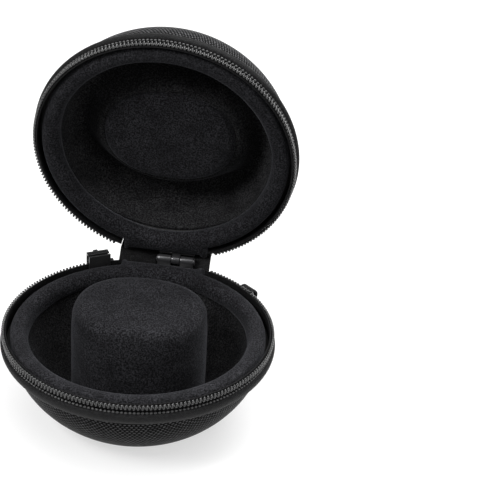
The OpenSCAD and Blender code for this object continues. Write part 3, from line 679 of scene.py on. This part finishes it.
# foam ring under a velour skin; slow waves p sin(7a + s) + p/2 sin(17a) keep it from looking turned
def makeRim(place, seed):
    a = np.radians(np.concatenate([np.linspace(-24, 24, 97)[:-1], np.linspace(24, 336, 225)[:-1]]))
    for label, inset in (("foam", rim["velour"]), ("velour", 0.0)):
        section = rimSection(inset)
        r, h = section[:, 0][:, None] + 0 * a, section[:, 1][:, None] + 0 * a
        outward = np.clip((r - rim["crownR"]) / (rim["outR"] - rim["crownR"]), 0, 1)
        r = r + outward * (rimReach(a) - rim["outR"])
        slow, fast = rim["waves"]
        wave = rim["pucker"] * (np.sin(slow * a + seed) + 0.5 * np.sin(fast * a + 2 * seed))
        inner = smoothStep((rim["outR"] - r) / (rim["outR"] - rim["inR"]))
        r, h = r + wave * inner * rim["waveOut"], h - wave * inner * rim["waveUp"]
        grid = np.stack([r * np.sin(a), r * np.cos(a), h], -1)
        if label == "velour":
            grid = puffUp(grid, (True, True), False, lambda p: p[:, 2] > rim["end"] - rim["held"])
            grid[..., 2] = np.maximum(grid[..., 2], rim["top"])
            grid[..., 1] = np.minimum(grid[..., 1], rim["lobeY"] + 0.05 * mm)
        mesh = gridMesh(f"{place}_rim_{label}", places[place](grid), None, (True, True))
        piece = finishMesh(f"{place}_rim_{label}_pad", mesh, place, materials[label],
                           [f"{place}_rim_{label}"])


makeRim("base", 0.4)
makeRim("lid", 2.1)
print("rims made")


band = {"t": 1.9 * mm, "start": 4.35 * mm, "end": 9.2 * mm, "soft": 1.3 * mm, "lip": 0.2 * mm}


# quarter round at the top, then r = r1 - (t - lip) k^2 down to the seam
def bandSection():
    r0, r1 = zipper["tapeR"], zipper["tapeR"] + band["t"]
    fall = band["end"] - band["start"] - band["soft"]
    t = np.radians(np.linspace(270, 360, 9))
    top = np.stack([r1 - band["soft"] + band["soft"] * np.cos(t),
                    band["start"] + band["soft"] + band["soft"] * np.sin(t)], -1)
    k = np.linspace(0.15, 1, 9)
    side = np.stack([r1 - (band["t"] - band["lip"]) * k * k, band["end"] - fall * (1 - k)], -1)
    return np.concatenate([[[r0, band["start"]]], top, side, [[r0, band["end"]]]])


# the band's section carried round all but the spine
def makeBand(place):
    grid = spin(bandSection(), zipper["spineAngle"], 360 - zipper["spineAngle"], 300)
    mesh = gridMesh(f"{place}_band", places[place](grid), alongUv(grid), (True, False), caps=True)
    return finishMesh(f"{place}_band_fabric", mesh, place, materials["fine"], [f"{place}_edge_band"])


# a thin upright strip with its top corners rounded, carried round all but the spine
def makeTape(place):
    outR, inR = zipper["tapeR"], zipper["tapeR"] - zipper["tapeT"]
    top, end = zipper["gap"] + zipper["tapeDown"], shell["seamH"] - zipper["tapeShort"]
    profile = roundedPath([[inR, end], [inR, top], [outR, top], [outR, end]], zipper["tapeRound"], 4)
    grid = spin(profile, zipper["spineAngle"], 360 - zipper["spineAngle"], 260)
    mesh = gridMesh(f"{place}_tape", places[place](grid), alongUv(grid), (True, False), caps=True)
    return finishMesh(f"{place}_tape_web", mesh, place, materials["tape"], [f"{place}_zip_tape"])


# helix: (r, h) = mid + (a |cos s|^0.6, b |sin s|^0.6), its outer side drawn in by g cos^4 s, while the angle runs
# one pitch a turn, leaning by sin s
def makeCoil(place, start, stop, shift):
    outR, wire = zipper["outR"], zipper["wireR"]
    a, b = zipper["thick"] / 2 - wire, zipper["tall"] / 2 - wire
    midR, midH = outR - zipper["thick"] / 2, zipper["gap"] + zipper["tall"] / 2
    step = math.degrees(zipper["pitch"] / outR)
    turns = int((stop - start) / step) - 1
    s = np.arange(turns * zipper["perTurn"] + 1) / zipper["perTurn"] + 0.5
    c, d = np.cos(2 * math.pi * s), np.sin(2 * math.pi * s)
    r = midR + a * np.sign(c) * np.abs(c) ** zipper["square"] - zipper["groove"] * np.clip(c, 0, 1) ** 4
    h = midH + b * np.sign(d) * np.abs(d) ** zipper["square"]
    lean = -zipper["lean"] * np.sin(2 * math.pi * s) / (2 * math.pi)
    phi = np.radians(start + step * (s + shift + lean))
    path = np.stack([r * np.sin(phi), r * np.cos(phi), h], -1)
    grid = sweep(path, wire, zipper["sides"], np.stack([np.cos(phi), -np.sin(phi), 0 * phi], -1))
    mesh = gridMesh(f"{place}_coil", places[place](grid), None, (False, True), caps=True)
    return finishMesh(f"{place}_coil_turns", mesh, place, materials["coil"], [f"{place}_zip_coil"])


# beads: ellipsoids (w sin q cos p, l cos q, w sin q sin p) set at each centre, at radius r and depth z
def makeBeads(name, place, centres, radius, depth, size, material):
    p, q = np.meshgrid(np.linspace(0, 2 * math.pi, 7)[:-1], np.linspace(0.25, math.pi - 0.25, 5))
    bead = np.stack([size[0] * np.sin(q) * np.cos(p), size[1] * np.cos(q), size[2] * np.sin(q) * np.sin(p)], -1) * mm
    along = bead[..., 1][None] / radius + centres[:, None, None]
    r, z = radius + bead[..., 0][None], depth + bead[..., 2][None] + 0 * along
    grid = places[place](np.stack([r * np.sin(along), r * np.cos(along), z], -1))
    count, rows, cols = grid.shape[:3]
    quads = np.array(quadsOf(rows, cols, (False, True)))
    starts = np.arange(count)[:, None] * rows * cols
    faces = (quads[None] + starts[:, None]).reshape(-1, 4).tolist()
    faces += (starts + np.arange(cols)).tolist() + (starts + (rows - 1) * cols + np.arange(cols)).tolist()
    mesh = bpy.data.meshes.new(name)
    mesh.from_pydata(grid.reshape(-1, 3).tolist(), [], faces)
    fixNormals(mesh)
    mesh.polygons.foreach_set("use_smooth", [True] * len(mesh.polygons))
    return finishMesh(name, mesh, place, material, [])


for place, shift in (("base", 0.0), ("lid", 0.5)):
    first = zipper["spineAngle"] + zipper["endGap"]
    row = np.radians(np.arange(first, 360 - first, math.degrees(zipper["pitch"] / zipper["outR"])))
    makeBand(place)
    makeTape(place)
    makeCoil(place, first, 360 - first, shift)
    depth = zipper["gap"] + zipper["tall"] + zipper["stitchDrop"]
    makeBeads(f"{place}_tape_stitches", place, row, zipper["tapeR"] + zipper["stitchOut"], depth, zipper["stitch"],
              materials["stitch"])
print("zipper made")


post = {"l": 54 * mm, "w": 47 * mm, "back": 2 * mm, "top": baseH + 9.5 * mm, "foot": 6.2 * mm,
        "round": 4 * mm, "skin": 0.9 * mm, "slack": 0.4 * mm, "held": 3 * mm}
pillow = {"l": 54.2 * mm, "w": 43 * mm, "t": 2.4 * mm, "edge": 1.3 * mm, "slack": 0.35 * mm,
          "held": 0.6 * mm}


# rings (l/2 - d) |cos a|^0.9, (w/2 - d) |sin a|^0.9: a wall, a quarter-round edge d = e(1 - cos t),
# then a closing top; the underside closes on the axis
def ovalBlock(l, w, h0, h1, edge, rows=14):
    t = np.linspace(0, math.pi / 2, 10)[1:]
    k = np.linspace(0.94, 0, 14)
    d = np.concatenate([np.zeros(rows), edge * (1 - np.cos(t)), np.full(14, edge)])
    h = np.concatenate([np.linspace(h0, h1 - edge, rows), h1 - edge + edge * np.sin(t), np.full(14, h1)])
    size = np.concatenate([np.ones(rows + 9), k])
    d, h, size = np.append(0, d), np.append(h0, h), np.append(0, size)
    a = np.linspace(0, 2 * math.pi, 144, endpoint=False)
    c, s = np.cos(a), np.sin(a)
    x = ((l / 2 - d) * size)[:, None] * np.abs(c) ** 0.9 * np.sign(c)
    y = ((w / 2 - d) * size)[:, None] * np.abs(s) ** 0.9 * np.sign(s)
    return np.stack([x, y, h[:, None] + 0 * a], -1)


# velour skin over a foam block; the skin starts slack inside its outline and is puffed out to it
def makePost():
    back = np.array([0, post["back"], 0])
    l, w, skin, slack = post["l"], post["w"], post["skin"], post["slack"]
    core = ovalBlock(l - 2 * skin - 2 * slack, w - 2 * skin - 2 * slack, post["foot"],
                     post["top"] - skin - slack, post["round"] - skin)
    finishMesh("post_foam", gridMesh("post_foam", core + back, None, (False, True)), "base", materials["foam"],
               ["post_core"])
    outer = ovalBlock(l - 2 * slack, w - 2 * slack, post["foot"], post["top"] - slack, post["round"])
    outer = puffUp(outer, (False, True), False, lambda p: p[:, 2] < post["foot"] + post["held"])[1:]
    outer[..., 2] = np.minimum(outer[..., 2], post["top"])
    sleeve = gridMesh("post_velour", np.concatenate([outer, core[:0:-1]]) + back, None, (True, True))
    piece = finishMesh("post_velour_sleeve", sleeve, "base", materials["velour"], ["post_sleeve"])


# a low oval block on the dimple's floor, puffed towards the opening
def makePillow():
    slack = pillow["slack"]
    l, w = pillow["l"] - 2 * slack, pillow["w"] - 2 * slack
    pad = ovalBlock(l, w, 0, pillow["t"] - slack, pillow["edge"], rows=5)
    pad = puffUp(pad, (False, True), False, lambda p: p[:, 2] < pillow["held"])
    pad[..., 2] = shell["dimpleFloor"] - shell["wallT"] - np.maximum(pad[..., 2], 0)
    mesh = gridMesh("lid_pillow", toLid(pad), None, (False, True))
    piece = finishMesh("lid_velour_pillow", mesh, "lid", materials["velour"], ["lid_pillow"])


makePost()
makePillow()
print("post and pillow made")


edges = {"hinge": 0.18 * mm, "slider": 0.22 * mm, "stop": 0.3 * mm, "fabric": 0.3 * mm, "gate": 0.12 * mm,
         "clip": 0.15 * mm, "tab": 0.4 * mm, "merge": 2e-6, "flat": 1.5, "sharp": 35, "steps": 3}


# a merged copy of the solid with its flat faces rejoined and its edges rounded by width
def softenNode(node, material, width, uvFrom=None):
    mesh = frame["nodes"][node].data.copy()
    mesh.materials.clear()
    work = bmesh.new()
    work.from_mesh(mesh)
    bmesh.ops.remove_doubles(work, verts=work.verts, dist=edges["merge"])
    bmesh.ops.dissolve_limit(work, angle_limit=math.radians(edges["flat"]), verts=work.verts, edges=work.edges)
    work.to_mesh(mesh)
    work.free()
    if uvFrom is not None:
        co = np.zeros(len(mesh.vertices) * 3)
        mesh.vertices.foreach_get("co", co)
        storeCloth(mesh, uvFrom(co.reshape(-1, 3)))
    piece = finishMesh(node + "_finished", mesh, frame["nodes"][node]["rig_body"], material, [node])
    bevel = piece.modifiers.new("round", "BEVEL")
    bevel.width = width
    bevel.segments = edges["steps"]
    bevel.limit_method = "ANGLE"
    bevel.angle_limit = math.radians(edges["sharp"])
    mesh.polygons.foreach_set("use_smooth", [True] * len(mesh.polygons))
    return piece


# u round the collar, v up
def spineTabUv(points):
    angle = np.arctan2(points[:, 0], points[:, 1])
    return np.stack([angle * shell["collarR"], points[:, 2]], -1)


# u across the webbing, v out along its strip
def loopUv(points):
    a = math.atan2(loopPos[0], loopPos[1])
    x, y, z = points.T
    return np.stack([x * math.cos(a) - y * math.sin(a), x * math.sin(a) + y * math.cos(a) + z], -1)


for node in ("hinge_base_leaf", "hinge_lid_leaf", "hinge_pin"):
    softenNode(node, materials["hinge"], edges["hinge"])
for node in ("slider_body", "slider_bridge"):
    softenNode(node, materials["slider"], edges["slider"])
for node in ("zip_stop_left", "zip_stop_right"):
    softenNode(node, materials["coil"], edges["stop"])
softenNode("spine_tab", materials["fine"], edges["fabric"], uvFrom=spineTabUv)
softenNode("webbing_loop", materials["webbing"], edges["fabric"], uvFrom=loopUv)
softenNode("carabiner_gate", materials["clip"], edges["gate"])
softenNode("gate_pin", materials["steel"], edges["gate"])
softenNode("gate_spring", materials["steel"], edges["gate"])
softenNode("carabiner_frame", materials["clip"], edges["clip"])
softenNode("pull_tab", materials["rubber"], edges["tab"])
print("hinge, slider and clip made")


link = {"w": 5.2 * mm, "l": 7.6 * mm, "bend": 1.4 * mm, "wireR": 0.6 * mm, "points": 96}


# rounded rectangle below the origin: quarter circles c + bend (cos a, sin a), resampled evenly along its length
def makePullLink():
    w, l, bend = link["w"], link["l"], link["bend"]
    right = w / 2 - bend
    centres = np.array([[right, -bend], [-right, -bend], [-right, bend - l], [right, bend - l]])
    a = np.linspace(0, math.pi / 2, 10)[None] + np.arange(4)[:, None] * math.pi / 2
    loop = (centres[:, None] + bend * np.stack([np.cos(a), np.sin(a)], -1)).reshape(-1, 2)
    loop = np.concatenate([loop, loop[:1]])
    far = np.append(0, np.cumsum(np.linalg.norm(np.diff(loop, axis=0), axis=1)))
    at = np.linspace(0, far[-1], link["points"], endpoint=False)
    path = np.stack([0 * at, np.interp(at, far, loop[:, 0]), np.interp(at, far, loop[:, 1])], -1)
    tube = sweep(path, link["wireR"], 12, (1.0, 0.0, 0.0), closed=True)
    grid = atAngle(tube, math.degrees(math.atan2(parkPos[0], parkPos[1])), parkPos)
    finishMesh("pull_wire_link", gridMesh("pull_wire_link", grid, None, (True, True)), "link", materials["slider"],
               ["pull_link"])


makePullLink()
print("pull link made")


spine = {"out": 2.7 * mm, "start": 3.3 * mm, "t": 0.7 * mm, "fold": 9, "clear": 0.6, "clothOpen": 0.35}


# strip in rows about the case's axis: web r to outR at the seam, wall up to the fold, the fold's straight rows
# P(t) = (1 - t) a + t b, and the same down the lid; the cloth's scale is measured with the lid a third open
def makeSpine():
    outR, seam, t = hinge[1] + spine["out"], shell["seamH"], spine["t"]
    r = np.concatenate([np.linspace(shell["collarR"], outR, 8)[:-1], np.full(8, outR)])
    h = np.concatenate([np.full(7, seam), np.linspace(seam, spine["start"], 8)])
    limit = zipper["spineAngle"] - spine["clear"]
    angles = np.radians(np.linspace(-limit, limit, 49))
    k = np.arange(15)

    # the strip's surface at a depth under its outside, from the base's seam over the fold to the lid's seam
    def skin(depth, angle):
        r2, h2 = (r - depth * (k >= 7))[:, None], (h - depth * (k < 8))[:, None]
        half = np.stack([r2 * np.sin(angles), r2 * np.cos(angles), h2 + 0 * angles], -1)
        low, high = toBase(half), toLid(half, angle)[::-1]
        mix = np.linspace(0, 1, spine["fold"] + 2)[1:-1][:, None, None]
        return np.concatenate([low, low[-1] * (1 - mix) + high[0] * mix, high])

    # outside and inside joined into a closed section
    def strip(angle):
        return np.concatenate([skin(0, angle), skin(t, angle)[::-1]])

    uv = alongUv(strip(openAngle * spine["clothOpen"]))
    mesh = gridMesh("spine_fabric", strip(openAngle), uv, (True, False), caps=True)
    piece = finishMesh("spine_fabric", mesh, None, materials["fine"], ["spine_lower", "spine_upper"])
    end = np.array([0, outR, spine["start"]])
    tuple(toBase(end))
    tuple(toLid(end))
    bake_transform(piece)


makeSpine()
print("spine made")


stage = {"floor": 0.42, "bounce": 0.2, "glow": 0.6, "world": 0.2,
         "sky": 2.7, "skySpread": 75.0, "skyTilt": (-6.0, 8.0), "floorSize": 3.0, "aim": (0, 0.02, 0.06),
         "lamps": {"key": ((-0.5, -0.45, 0.75), 0.35, 6.5),
                   "fill": ((0.65, -0.5, 0.5), 0.6, 2.0), "back": ((0.35, 0.6, 0.8), 0.5, 6.0)}}


# strength = world + (1 - world) for camera and transmission rays
def makeWorld():
    world = bpy.data.worlds.new("studio")
    bpy.context.scene.world = world
    world.use_nodes = True
    tree = world.node_tree
    background = tree.nodes["Background"]
    rays = nodeOf(tree, "ShaderNodeLightPath")
    seen = mathNode(tree, "MAXIMUM", rays.outputs["Is Camera Ray"], rays.outputs["Is Transmission Ray"])
    strength = mathNode(tree, "MULTIPLY_ADD", seen, 1.0 - stage["world"], stage["world"])
    background.inputs["Color"].default_value = (1, 1, 1, 1)
    tree.links.new(strength, background.inputs["Strength"])


# pale where it is seen, darker for the light it throws back, with a plain glow under the camera's rays
def makeFloor():
    size = stage["floorSize"]
    mesh = bpy.data.meshes.new("floor")
    mesh.from_pydata([(-size, -size, 0), (size, -size, 0), (size, size, 0), (-size, size, 0)], [], [(0, 1, 2, 3)])
    floor = bpy.data.objects.new("floor", mesh)
    bpy.context.scene.collection.objects.link(floor)
    material = bpy.data.materials.new("paleFloor")
    material.use_nodes = True
    tree = material.node_tree
    shader = tree.nodes["Principled BSDF"]
    rays = nodeOf(tree, "ShaderNodeLightPath")
    seen = mathNode(tree, "MAXIMUM", rays.outputs["Is Camera Ray"],
                    mathNode(tree, "MAXIMUM", rays.outputs["Is Glossy Ray"], rays.outputs["Is Transmission Ray"]))
    pale, dim = (stage["floor"],) * 3 + (1,), (stage["bounce"],) * 3 + (1,)
    tree.links.new(mixColour(tree, seen, dim, pale), shader.inputs["Base Color"])
    shader.inputs["Roughness"].default_value = 0.9
    shader.inputs["Specular IOR Level"].default_value = 0.0
    shader.inputs["Emission Color"].default_value = (1, 1, 1, 1)
    tree.links.new(mathNode(tree, "MULTIPLY", seen, stage["glow"]), shader.inputs["Emission Strength"])
    mesh.materials.append(material)


# an area lamp aimed a little above the floor at the middle
def makeArea(name, place, size, watts):
    data = bpy.data.lights.new(name, "AREA")
    data.energy = watts
    data.size = size
    lamp = bpy.data.objects.new(name, data)
    bpy.context.scene.collection.objects.link(lamp)
    lamp.location = place
    lamp.rotation_euler = (Vector(stage["aim"]) - Vector(place)).to_track_quat("-Z", "Y").to_euler()


# one broad soft lamp straight overhead, the same strength everywhere on the floor
def makeSky():
    data = bpy.data.lights.new("sky", "SUN")
    data.energy = stage["sky"]
    data.angle = math.radians(stage["skySpread"])
    lamp = bpy.data.objects.new("sky", data)
    bpy.context.scene.collection.objects.link(lamp)
    lamp.location = (0, 0, 1)
    lamp.rotation_euler = (math.radians(stage["skyTilt"][0]), math.radians(stage["skyTilt"][1]), 0)


makeWorld()
makeFloor()
makeSky()
for name, values in stage["lamps"].items():
    makeArea(name, *values)

view = {"yaw": 11.0, "elevation": 30.6, "roll": 1.2, "distance": 0.72, "focal": 1830.0, "frameSize": 500,
        "point": (0.0, 0.0, baseH), "pixel": (138.5, 326.5)}


# looks along yaw and elevation and stands back from the point so that it falls on its pixel
def makeCamera():
    data = bpy.data.cameras.new("camera")
    data.sensor_width = 36.0
    data.lens = view["focal"] / view["frameSize"] * data.sensor_width
    data.clip_start = 0.01
    camera = bpy.data.objects.new("camera", data)
    bpy.context.scene.collection.objects.link(camera)
    half = view["frameSize"] / 2
    ray = Vector(((view["pixel"][0] - half) / view["focal"], (half - view["pixel"][1]) / view["focal"], -1))
    yaw, el = math.radians(view["yaw"]), math.radians(view["elevation"])
    turn = Matrix.Rotation(yaw, 3, "Z") @ Matrix.Rotation(math.pi / 2 - el, 3, "X")
    turn = turn @ Matrix.Rotation(math.radians(view["roll"]), 3, "Z")
    turn = turn @ Matrix.Rotation(math.atan(ray[0]), 3, "Y")
    place = Vector(view["point"]) - turn @ ray.normalized() * view["distance"]
    camera.matrix_world = Matrix.Translation(place) @ turn.to_4x4()
    bpy.context.scene.camera = camera


makeCamera()
bpy.context.scene.view_settings.view_transform = "Standard"
print("stage and camera made")
